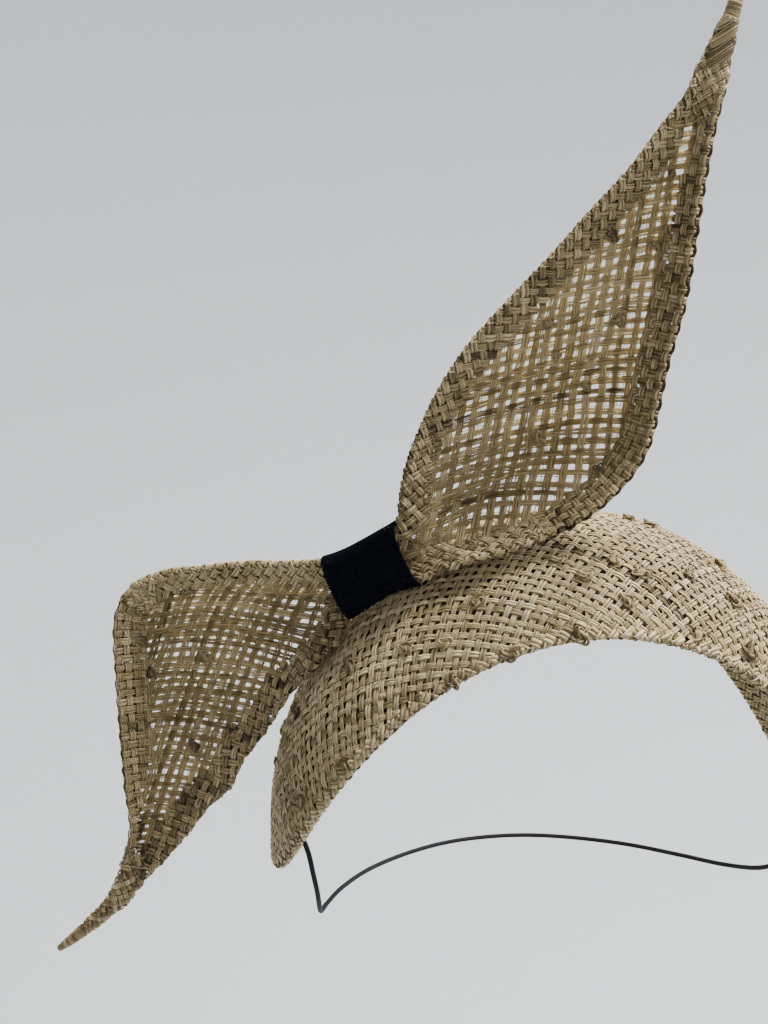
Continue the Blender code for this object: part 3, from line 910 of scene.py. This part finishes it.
def tip_course(wing, tip_rows, lead_rows):
    """Middle line of a wing's rolled end, its half width and half thickness, and their directions.

    It starts inside the wing, at the last rows of the wing's table, and goes on to the tip.
    """
    wing_rows, length, side, angle = wing
    table = np.array(wing_rows[-lead_rows:])
    upper, lower, hollow = table[:, :3], table[:, 3:6], table[:, 6]
    middle, chord = (upper + lower) / 2, upper - lower
    tail = np.array(tip_rows[1:])
    heading = unit(np.gradient(np.vstack([middle, tail[0, :3]]), axis=0))[:-1]
    level = np.linalg.norm(chord - heading * (chord * heading).sum(-1, keepdims=True), axis=1)
    lead = np.column_stack([middle[:, :2], middle[:, 2] - hollow / 2,
                            level / 2 + TIP_OVER_EDGES / length,
                            hollow / 2 + TIP_OVER_FACES / length])
    lead[0, 3:] = lead[0, 3:] * np.array([0.7, 0.2])
    cells = smooth_rows(np.vstack([lead, np.column_stack([tail, tail[:, 3]])]), TIP_STEPS) * length
    axes = wing_axes(side, angle)
    line = cells[:, :3] @ axes + knot_centre()
    tangent = unit(np.gradient(line, axis=0))
    u = unit(np.cross(tangent, axes[2]))
    return line, cells[:, 3], cells[:, 4], u, np.cross(u, tangent)


def add_braid(bundle, line, wide, thick, u, v, count, tone, families=(1, -1), fibres=3,
              spread=0.56, crown=0.0, turning=1.0):
    """A flat braided tube round a line, or one that is twisted, where all strands go one way."""
    run = run_along(line)
    size = np.sqrt((wide ** 2 + thick ** 2) / 2)
    turned = turning * np.concatenate([[0], np.cumsum(2 * np.diff(run) / (size[1:] + size[:-1]))])
    steps = np.linspace(0, turned[-1], int(turned[-1] * count / math.pi * SAMPLES_PER_CELL))
    row = np.interp(steps, turned, np.arange(len(run)))
    line, wide, thick, u, v = sampled((line, wide, thick, u, v), row)
    angles = np.linspace(0, 2 * math.pi, 73)
    sides = np.hypot(np.diff(wide * np.cos(angles)), np.diff(thick * np.sin(angles)))
    girth = sides.sum(1)
    shares = np.hstack([np.zeros((len(row), 1)), np.cumsum(sides, axis=1)]) / girth[:, None]
    for family in families:
        for strand in range(count):
            share = (family * steps / (2 * math.pi) + strand / count) % 1
            turn = np.array([np.interp(*pair, angles) for pair in zip(share, shares)])[:, None]
            normal = unit(u * np.cos(turn) / wide + v * np.sin(turn) / thick)
            phase = strand + family * steps * count / math.pi
            lift = family * (-1) ** strand * HEM_WEAVE_HEIGHT * np.cos(math.pi * phase)
            lift = lift * (len(families) - 1)
            centre = line + u * wide * np.cos(turn) + v * thick * np.sin(turn)
            bundle.add_strand(centre + normal * lift[:, None], normal, spread * girth / count,
                              np.clip(bundle.random.normal(tone, 0.13), 0.1, 0.95), fibres,
                              crown=crown)


def narrowed(count):
    """Shares of a roll's size in some rows from its end: less in the first ones, its overlap."""
    return np.minimum(1, 0.72 + 0.28 * np.arange(count) / TIP_OVERLAP)


def make_tip_piece(name, course, seed, braided_to, bound_from, straw):
    """The rolled end of a wing: braided, twisted up to the binding, and bound at its point."""
    line, wide, thick, u, v = course
    run = run_along(line)
    bundle = Bundle(seed)
    # A dark core inside the roll: painted shade seen between the braid's strands
    shaded_core = slice(20, None, 6)
    bundle.add_tube(line[shaded_core], v[shaded_core], 1.4 * wide[shaded_core], 1.4 * thick[shaded_core], 0.05, sides=8)
    part = slice(0, min(braided_to + TIP_OVERLAP, bound_from + 4))
    size = narrowed(part.stop)[::-1]
    add_braid(bundle, line[part], wide[part] * size, thick[part] * size, u[part], v[part], 6, 0.38)
    if bound_from > braided_to:
        part = slice(braided_to - TIP_OVERLAP, bound_from + 8)
        size = narrowed(part.stop - part.start)
        add_braid(bundle, line[part], wide[part] * size * 0.70, thick[part] * size * 0.80,
                  u[part], v[part], 3, 0.30, families=(-1,), fibres=6, spread=0.84, crown=0.0009,
                  turning=0.75)
    turns = (run[-1] - run[bound_from]) / THREAD
    spots = np.linspace(run[bound_from], run[-1], int(turns * 10))
    row = np.interp(spots, run, np.arange(len(run)))
    place, u, v, reach = sampled((line, u, v, wide), row)
    turn = 2 * math.pi * (spots - spots[0])[:, None] / THREAD
    out = unit(u) * np.cos(turn) + unit(v) * np.sin(turn)
    reach = reach * (1 + bundle.wobble(len(spots), 0.05, 12))[:, None]
    bundle.add_tube(place + out * reach, out, THREAD * 1.1, THREAD * 0.9,
                    0.32 + bundle.wobble(len(spots), 0.12), sides=4)
    piece = bundle.make(name + "_roll", straw, "straw")
    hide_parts(name)


def add_slub(bundle, place, normal, size):
    """A slub: a thick fibre tied into a small knot on the cloth, with its two ends lying loose."""
    random = bundle.random
    side = unit(np.cross(normal, random.normal(0, 1, 3)))
    other = np.cross(normal, side)
    turn = np.linspace(0.0, 2 * math.pi * 0.93, 30)
    shape = np.stack([np.sin(turn) + 2 * np.sin(2 * turn), np.cos(turn) - 2 * np.cos(2 * turn),
                      -np.sin(3 * turn)], -1)
    tails = [shape[0] + np.array([-1.5, 1.0, -1.2]) * share for share in (1.6, 0.8)]
    shape = np.vstack([tails, shape, shape[-1] + np.array([1.2, -0.8, -0.8]),
                       shape[-1] + np.array([2.6, 0.4, -1.2])])
    scale = size / 6.4 * np.array([random.uniform(1.0, 1.25), random.uniform(0.65, 0.9), 0.75])
    tone = random.uniform(0.12, 0.34)
    share = np.linspace(-1, 1, 6)[:, None]
    lump = size * 0.42 * np.sqrt(np.clip(1.05 - share[:, 0] ** 2, 0, 1))
    bundle.add_tube(place + normal * size * 0.10 + side * share * size * 0.36, normal, lump,
                    lump * 0.7, tone, sides=6)
    for strand in (-1, 1):
        line = place + (shape * scale) @ np.array([side, other, normal])
        line = line + normal * (scale[2] * 1.1) + strand * 0.1 * size * unit(side + other)
        thick = size * random.uniform(0.15, 0.19)
        bundle.add_tube(line, np.broadcast_to(normal, line.shape), thick, thick * 0.8,
                        tone + 0.06 * strand, sides=4)


def add_whisker(bundle, place, normal, length, rise=0.6, tone=0.85):
    """A thin loose fibre that springs from the cloth, or lies on it where it hardly rises."""
    random = bundle.random
    heading = random.normal(0, 1, 3)
    heading = unit(heading - normal * (heading @ normal) * (rise < 0.5) + normal * rise)
    bend = random.normal(0, 1, 3) * random.uniform(0.2, 0.9)
    share = np.linspace(0, 1, 9)[:, None]
    line = place + heading * length * share + bend * length * share ** 2 * 0.5
    taper = 1.1 - share[:, 0]
    bundle.add_tube(line, unit(np.cross(np.gradient(line, axis=0), bend)), 0.00016 * taper,
                    0.00013 * taper, tone)


def make_slubs(straw):
    bundle = Bundle(51)
    random = bundle.random
    spots = [(along, across, random.uniform(0.0032, 0.0052)) for along, across in BAND_SLUBS]
    for _ in range(MORE_BAND_SLUBS):
        along = random.uniform(-0.85, 0.95)
        across = random.uniform(-0.2, 1.0) if along < 0.5 else random.uniform(-0.95, 1.0)
        spots.append((along, across, random.uniform(0.0026, 0.0044)))
    for along, across, size in spots:
        place, facing = band_place(along, across * half_breadth(along))
        add_slub(bundle, place - facing * 0.0003, facing, size)
    for _ in range(BAND_WHISKERS):
        along, across = random.uniform(-0.9, 0.9), random.choice([-1, 1]) * random.uniform(0.4, 1)
        place, facing = band_place(along, across * half_breadth(along))
        add_whisker(bundle, place, facing, random.uniform(0.003, 0.009))
    for wing, slubs in ((RIGHT_WING, RIGHT_WING_SLUBS), (LEFT_WING, LEFT_WING_SLUBS)):
        points, normals, _, _ = wing_grid(*wing)
        last = np.array(points.shape[:2]) - 1
        for share, place in slubs:
            i, j = round(share * last[0]), round((place + 1) / 2 * last[1])
            face = normals[i, j]
            add_slub(bundle, points[i, j] + face * 0.0003, face, random.uniform(0.0026, 0.0040))
        for _ in range(WING_WHISKERS):
            i = random.integers(last[0] // 4, last[0])
            j = random.choice([0, last[1]])
            add_whisker(bundle, points[i, j], normals[i, j], random.uniform(0.003, 0.010))
        for _ in range(KNOT_FIBRES):
            i = int(random.uniform(0.03, 0.24) * last[0])
            j = int(random.uniform(0.12, 0.85) * last[1])
            face = normals[i, j]
            add_whisker(bundle, points[i, j] + face * 0.0008, face, random.uniform(0.003, 0.009),
                        0.12, random.uniform(0.3, 0.8))
    bundle.make("slubs_and_whiskers", straw, "straw")


def sleeve_section(count):
    """Evenly spaced points of the sleeve's rounded oblong section, as shares of its half sizes."""
    turn = np.linspace(0, 2 * math.pi, 1441)
    power = 2 / KNOT_ROUNDNESS
    up = np.sign(np.sin(turn)) * np.abs(np.sin(turn)) ** power * KNOT_HEIGHT / 2
    out = np.sign(np.cos(turn)) * np.abs(np.cos(turn)) ** power * KNOT_THICKNESS / 2
    run = run_along(np.stack([up, out], -1))
    places = np.linspace(0, run[-1], count, endpoint=False)
    return np.interp(places, run, up), np.interp(places, run, out), run[-1]


def ribbon_material():
    """Dark ribbon with fine threads, painted light on its rib crests and painted shade between its
    ribs.
    """
    shading = Shading("ribbon")
    thread = shading.noise(vector=shading.place(), scale=900.0, detail=2.0)
    painted_rib_light = shading.parts(shading.attribute("painted_rib_light"))["X"]
    shading.finish(shading.math("MULTIPLY", thread, painted_rib_light), RIBBON_STOPS, 0.6, 0.03)
    shading.bump(thread, 0.35, 0.0001)
    return shading.material


def make_ribbon():
    """The ribbed ribbon sleeve: fine ribs along its axis and small loops along its two edges."""
    count = RIBS * POINTS_PER_RIB
    up, out, girth = sleeve_section(count)
    axis, height, depth = knot_frame()
    centre = knot_centre()
    rib = np.cos(2 * math.pi * np.arange(count) / POINTS_PER_RIB)
    section = up[:, None] * height + out[:, None] * depth
    facing = unit(up[:, None] / (KNOT_HEIGHT / 2) ** 2 * height
                  + out[:, None] / (KNOT_THICKNESS / 2) ** 2 * depth)
    steps = np.concatenate([[-1.012], np.linspace(-1, 1, 13), [1.012]])
    outer = RIB_DEPTH / 2 * (rib - 1)
    inner = np.full(count, 0.0001 - RIBBON_WALL)
    rings = []
    for lift, own_steps in ((outer, steps), (inner, steps[::-1])):
        for step in own_steps:
            bow = 0.0003 * math.sin(step * 2.4 + 0.6)
            loops = LOOP_REACH * rib * (abs(step) >= 1) * np.sign(step)
            along = axis * (step * RIBBON_WIDTH / 2 + loops[:, None])
            rings.append(centre + along + height * bow + section * knot_size(step)
                         + facing * lift[:, None])
    first = np.arange(len(rings) * count).reshape(-1, count)
    following = np.roll(first, -1, axis=1)
    quads = np.stack([first, np.roll(first, -1, axis=0), np.roll(following, -1, axis=0),
                      following], -1).reshape(-1, 4)
    mesh = bpy.data.meshes.new("ribbon_sleeve")
    mesh.from_pydata(np.vstack(rings).tolist(), [], quads.tolist())
    mesh.shade_smooth()
    # Painted light and shade: 1 on each rib's crest and 0 in its groove, read by the ribbon's colour
    painted_rib_light = mesh.attributes.new("painted_rib_light", "FLOAT_VECTOR", "POINT")
    values = np.zeros((len(rings), count, 3), np.float32)
    values[..., 0] = (rib + 1) / 2
    painted_rib_light.data.foreach_set("vector", values.ravel())
    sleeve = add_object("ribbon_sleeve", mesh, ribbon_material())
    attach(sleeve, "root")
    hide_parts("ribbon_knot")


def elastic_route():
    """Points of the whole elastic, evenly spaced along a smooth curve, and its length."""
    place, facing = band_place(ELASTIC_SEAT_ALONG,
                               ELASTIC_SEAT_ACROSS * half_breadth(ELASTIC_SEAT_ALONG))
    seat = place - facing * (HEM_WALL + ELASTIC_DIAMETER / 2 + GAP)
    half = np.vstack([seat, ELASTIC_HALF_ROUTE])
    mirrored = half[-2::-1] * np.array([-1.0, 1.0, 1.0])
    curve = smooth_rows(np.vstack([half, mirrored]), 12)
    run = run_along(curve)
    places = np.linspace(0, run[-1], ELASTIC_POINTS)
    return np.stack([np.interp(places, run, curve[:, axis]) for axis in range(3)], -1), run[-1]


def elastic_material():
    """Dark braided thread: fine crossing ridges from the place along and around the cord."""
    shading = Shading("elastic")
    place = shading.attribute("fibre")
    braid = shading.node("TexChecker", {"Vector": place, "Scale": 14.0}).outputs["Fac"]
    shading.finish(braid, ELASTIC_STOPS, 0.7, 0.2)
    shading.bump(braid, 0.4, 0.0001)
    return shading.material


def make_elastic():
    route, length = elastic_route()
    bundle = Bundle(61)
    beside = unit(np.cross(np.gradient(route, axis=0), np.array([0.0, 0.3, 1.0])))
    bundle.add_tube(route, beside, ELASTIC_DIAMETER, ELASTIC_DIAMETER, 0.5, sides=12)
    piece = bundle.make("elastic_cord", elastic_material(), "elastic_cord")
    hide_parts("elastic")


def add_aimed(name, data, place, aim):
    """Puts a lamp or the camera at a place, turned to what it is aimed at."""
    thing = add_object(name, data)
    thing.location = place
    thing.rotation_euler = (Vector(aim) - Vector(place)).to_track_quat("-Z", "Y").to_euler()
    return thing


def make_camera():
    data = bpy.data.cameras.new("camera")
    data.sensor_fit = "VERTICAL"
    data.sensor_height = 36.0
    data.sensor_width = 36.0
    data.lens = CAMERA_LENS
    data.clip_start = 0.01
    data.clip_end = 20.0
    bpy.context.scene.camera = add_aimed("camera", data, CAMERA_PLACE, CAMERA_AIM)


def area_light(name, place, aim, size, power, colour):
    data = bpy.data.lights.new(name, "AREA")
    data.shape = "RECTANGLE"
    data.size = size
    data.size_y = size
    data.energy = power
    data.color = colour
    add_aimed(name, data, place, aim)


def make_stage():
    """A pale round floor that curves up into a wall all round."""
    flat, radius, sides = 0.5, 2.2, 64
    turns = np.linspace(0, math.pi / 2, 25)
    reach = np.concatenate([[flat / 2], flat + radius * np.sin(turns), [flat + radius]])
    rise = np.concatenate([[0], radius * (1 - np.cos(turns)), [radius + 0.9]]) + FLOOR_DEPTH
    around_floor = np.linspace(0, 2 * math.pi, sides, endpoint=False)
    points = np.stack([reach[:, None] * np.cos(around_floor), reach[:, None] * np.sin(around_floor),
                       np.broadcast_to(rise[:, None], (len(rise), sides))], -1).reshape(-1, 3)
    first = np.arange((len(reach) - 1) * sides).reshape(-1, sides)
    following = np.roll(first, -1, axis=1)
    quads = np.stack([first, first + sides, following + sides, following], -1).reshape(-1, 4)
    mesh = bpy.data.meshes.new("backdrop")
    mesh.from_pydata(points.tolist(), [], [list(range(sides))] + quads.tolist())
    mesh.shade_smooth()
    shading = Shading("backdrop")
    shading.finish(shading.noise(scale=1.5), BACKDROP_STOPS, 0.9)
    add_object("backdrop", mesh, shading.material)


def make_light():
    world = bpy.data.worlds.new("studio")
    bpy.context.scene.world = world
    world.use_nodes = True
    sky = world.node_tree.nodes["Background"].inputs
    sky["Color"].default_value = (0.93, 0.96, 1.0, 1.0)
    sky["Strength"].default_value = 0.31
    area_light("top", (0.45, 0.12, 1.03), (0.0, -0.02, 0.0), 0.4, 50.0, (1.0, 0.98, 0.94))
    area_light("wall", (2.6, 0.1, 1.0), (0.8, 2.5, 0.1), 2.0, 150.0, (0.96, 0.98, 1.0))
    area_light("front", (0.5, -1.2, 0.8), (0.0, 0.0, 0.0), 0.6, 3.0, (1.0, 0.99, 0.97))


def main():
    straw = straw_material("straw", (0.62, 0.45, 0.22), 0.20)
    open_straw = straw_material("open_straw", (0.74, 0.61, 0.37), 0.42)
    # The inner ply's straw lets hardly any light through; with its tone it paints shade
    shaded_inner_straw = straw_material("shaded_inner_straw", (0.2, 0.15, 0.08), 0.02)
    make_band_pieces(straw, shaded_inner_straw)
    make_wing_pieces("wing_right", RIGHT_WING, directions=(9.5, 83.5), pitches=(0.0024, 0.0031),
                     fills=(0.70, 0.64), short=26, seed=21, open_straw=open_straw, straw=straw,
                     hems=((True, (50.0, -50.0), (0.0, 0.94), 0.32),
                           (False, (38.0, -38.0), (0.0, 0.26), 0.40),
                           (False, (90.0, 0.0), (0.24, 0.94), 0.28)))
    # The left wing's hem tones paint light and shade: its upper hem is painted lighter up to the
    # corner, as lit from above, and its strip past the corner darker, as in shade
    make_wing_pieces("wing_left", LEFT_WING, directions=(2.0, 70.0), pitches=(0.0021, 0.0026),
                     fills=(0.76, 0.70), short=13, seed=31, open_straw=open_straw, straw=straw,
                     hems=((True, (52.0, -52.0), (0.0, LEFT_CORNER + 0.02), 0.52),
                           (True, (90.0, 0.0), (LEFT_CORNER - 0.02, 0.96), 0.32),
                           (False, (65.0, -25.0), (0.0, 0.96), 0.32)))
    make_tip_piece("tip_right", tip_course(RIGHT_WING, RIGHT_TIP_ROWS, lead_rows=3), 41,
                   braided_to=44, bound_from=112, straw=straw)
    make_tip_piece("tip_left", tip_course(LEFT_WING, LEFT_TIP_ROWS, lead_rows=2), 42,
                   braided_to=136, bound_from=136, straw=straw)
    make_slubs(straw)
    make_ribbon()
    make_elastic()
    make_stage()
    make_light()
    make_camera()


main()
